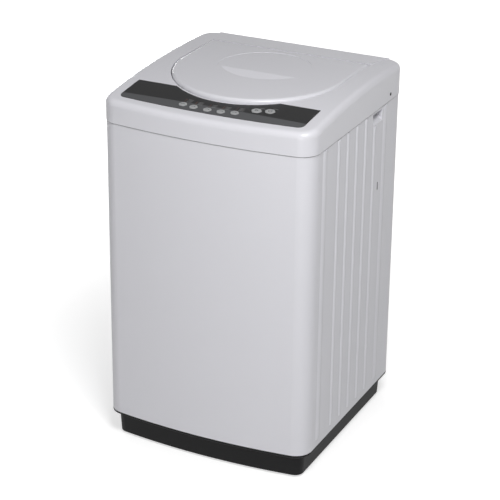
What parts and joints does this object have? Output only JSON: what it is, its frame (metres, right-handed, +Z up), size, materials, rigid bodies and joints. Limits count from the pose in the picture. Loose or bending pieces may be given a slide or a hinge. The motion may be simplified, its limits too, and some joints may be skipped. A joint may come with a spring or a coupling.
{
  "type": "top load washing machine",
  "caption": "Compact top load washing machine with a hinged lid, push buttons, hung tub, spinning basket and belt driven pulsator.",
  "frame": {"origin": "on the floor under the middle of the machine's plan", "axes": "+X to the machine's right seen from the front, +Y to the rear, +Z up"},
  "size_m": [0.5572, 0.5763, 0.9317],
  "materials": {
    "cabinet_paint": "satin",
    "rear_sheet": "satin",
    "cover_plastic": "satin",
    "panel_plastic": "satin",
    "button_plastic": "silver satin",
    "base_plastic": "matte",
    "rubber": "matte",
    "bright_steel": "brushed",
    "pressed_steel": "zinc",
    "cast_aluminium": "as cast",
    "tub_plastic": "matte",
    "pulsator_plastic": "satin",
    "dark_plastic": "matte",
    "valve_plastic": "matte",
    "circuit_board": "matte",
    "magnet": "bare"
  },
  "bodies": {
    "cabinet_body": {"cabinet": "cabinet_paint", "hand_grips": "cover_plastic", "base": "base_plastic", "fixed_feet": "rubber", "top_cover": "cover_plastic", "lid_switch": "dark_plastic", "lid_bumpers": "rubber", "control_panel": "panel_plastic", "board_tray": "dark_plastic", "control_board": "circuit_board", "corner_brackets": "pressed_steel", "suspension_rods": "bright_steel", "suspension_springs": "bright_steel", "drain_outlet": "tub_plastic", "rear_panel": "rear_sheet", "rear_screws": "bright_steel", "cord_gland": "rubber", "hot_inlet_valve": "valve_plastic", "cold_inlet_valve": "valve_plastic", "inlet_box": "tub_plastic", "level_sensor": "dark_plastic"},
    "lid_body": {"lid": "cover_plastic", "lid_hinge_pins": "bright_steel", "lid_magnet": "magnet"},
    "tub_body": {"outer_tub": "tub_plastic", "tub_ring": "tub_plastic", "suspension_cups": "tub_plastic", "support_plate": "pressed_steel", "gearcase": "cast_aluminium", "shaft_seal": "rubber", "motor": "pressed_steel", "drive_belt": "rubber", "capacitor": "dark_plastic", "drain_valve": "tub_plastic", "drain_hose": "rubber", "drain_actuator": "dark_plastic", "air_tube": "rubber"},
    "basket_body": {"basket": "bright_steel", "balance_ring": "tub_plastic", "basket_hub": "cast_aluminium", "lint_filters": "tub_plastic"},
    "pulsator_body": {"pulsator": "pulsator_plastic", "wash_shaft": "bright_steel", "pulsator_screw": "pulsator_plastic"},
    "drive_pulley_body": {"drive_pulley": "cast_aluminium", "input_shaft": "bright_steel"},
    "motor_pulley_body": {"motor_pulley": "cast_aluminium", "motor_shaft": "bright_steel"},
    "drain_rod_body": {"drain_pull_rod": "dark_plastic"},
    "foot_body": {"adjustable_foot": "rubber"},
    "program_button_body": {"program_button": "button_plastic"},
    "water_level_button_body": {"water_level_button": "button_plastic"},
    "temperature_button_body": {"temperature_button": "button_plastic"},
    "delay_button_body": {"delay_button": "button_plastic"},
    "rinse_button_body": {"rinse_button": "button_plastic"},
    "start_button_body": {"start_button": "button_plastic"},
    "power_button_body": {"power_button": "button_plastic"}
  },
  "joints": [
    {"name": "lid_hinge", "type": "hinge", "parent": "cabinet_body", "child": "lid_body", "pos_m": [0, 0.186, 0.9215], "axis": [-1, 0, 0], "range_deg": [0, 95]},
    {"name": "tub_bounce", "type": "slide", "parent": "cabinet_body", "child": "tub_body", "axis": [0, 0, 1], "range_m": [-0.012, 0.012], "stiffness_N_per_m": 12000, "springref_m": 0.02539, "deforming": ["suspension_springs"]},
    {"name": "basket_spin", "type": "hinge", "parent": "tub_body", "child": "basket_body", "pos_m": [0, 0.011, 0.314], "axis": [0, 0, 1], "continuous": true},
    {"name": "pulsator_spin", "type": "hinge", "parent": "tub_body", "child": "pulsator_body", "pos_m": [0, 0.011, 0.314], "axis": [0, 0, 1], "continuous": true},
    {"name": "drive_pulley_spin", "type": "hinge", "parent": "tub_body", "child": "drive_pulley_body", "pos_m": [0, 0.011, 0.122], "axis": [0, 0, 1], "continuous": true},
    {"name": "motor_pulley_spin", "type": "hinge", "parent": "tub_body", "child": "motor_pulley_body", "pos_m": [0, -0.147, 0.122], "axis": [0, 0, 1], "continuous": true},
    {"name": "drain_pull", "type": "slide", "parent": "tub_body", "child": "drain_rod_body", "axis": [0, -1, 0], "range_m": [0, 0.01], "stiffness_N_per_m": 400, "springref_m": -0.002},
    {"name": "foot_level", "type": "slide", "parent": "cabinet_body", "child": "foot_body", "axis": [0, 0, -1], "range_m": [0, 0.01]},
    {"name": "program_button_press", "type": "slide", "parent": "cabinet_body", "child": "program_button_body", "axis": [0, 0.1244, -0.9922], "range_m": [0, 0.0015], "stiffness_N_per_m": 800, "springref_m": -0.001},
    {"name": "water_level_button_press", "type": "slide", "parent": "cabinet_body", "child": "water_level_button_body", "axis": [0, 0.1261, -0.992], "range_m": [0, 0.0015], "stiffness_N_per_m": 800, "springref_m": -0.001},
    {"name": "temperature_button_press", "type": "slide", "parent": "cabinet_body", "child": "temperature_button_body", "axis": [0, 0.1267, -0.9919], "range_m": [0, 0.0015], "stiffness_N_per_m": 800, "springref_m": -0.001},
    {"name": "delay_button_press", "type": "slide", "parent": "cabinet_body", "child": "delay_button_body", "axis": [0, 0.1259, -0.992], "range_m": [0, 0.0015], "stiffness_N_per_m": 800, "springref_m": -0.001},
    {"name": "rinse_button_press", "type": "slide", "parent": "cabinet_body", "child": "rinse_button_body", "axis": [0, 0.1239, -0.9923], "range_m": [0, 0.0015], "stiffness_N_per_m": 800, "springref_m": -0.001},
    {"name": "start_button_press", "type": "slide", "parent": "cabinet_body", "child": "start_button_body", "axis": [0, 0.1134, -0.9936], "range_m": [0, 0.0015], "stiffness_N_per_m": 800, "springref_m": -0.001},
    {"name": "power_button_press", "type": "slide", "parent": "cabinet_body", "child": "power_button_body", "axis": [0, 0.1103, -0.9939], "range_m": [0, 0.0015], "stiffness_N_per_m": 800, "springref_m": -0.001}
  ],
  "couplings": [
    {"joint": "drive_pulley_spin", "follows": "pulsator_spin", "ratio": 1},
    {"joint": "motor_pulley_spin", "follows": "pulsator_spin", "ratio": 4.1214}
  ]
}
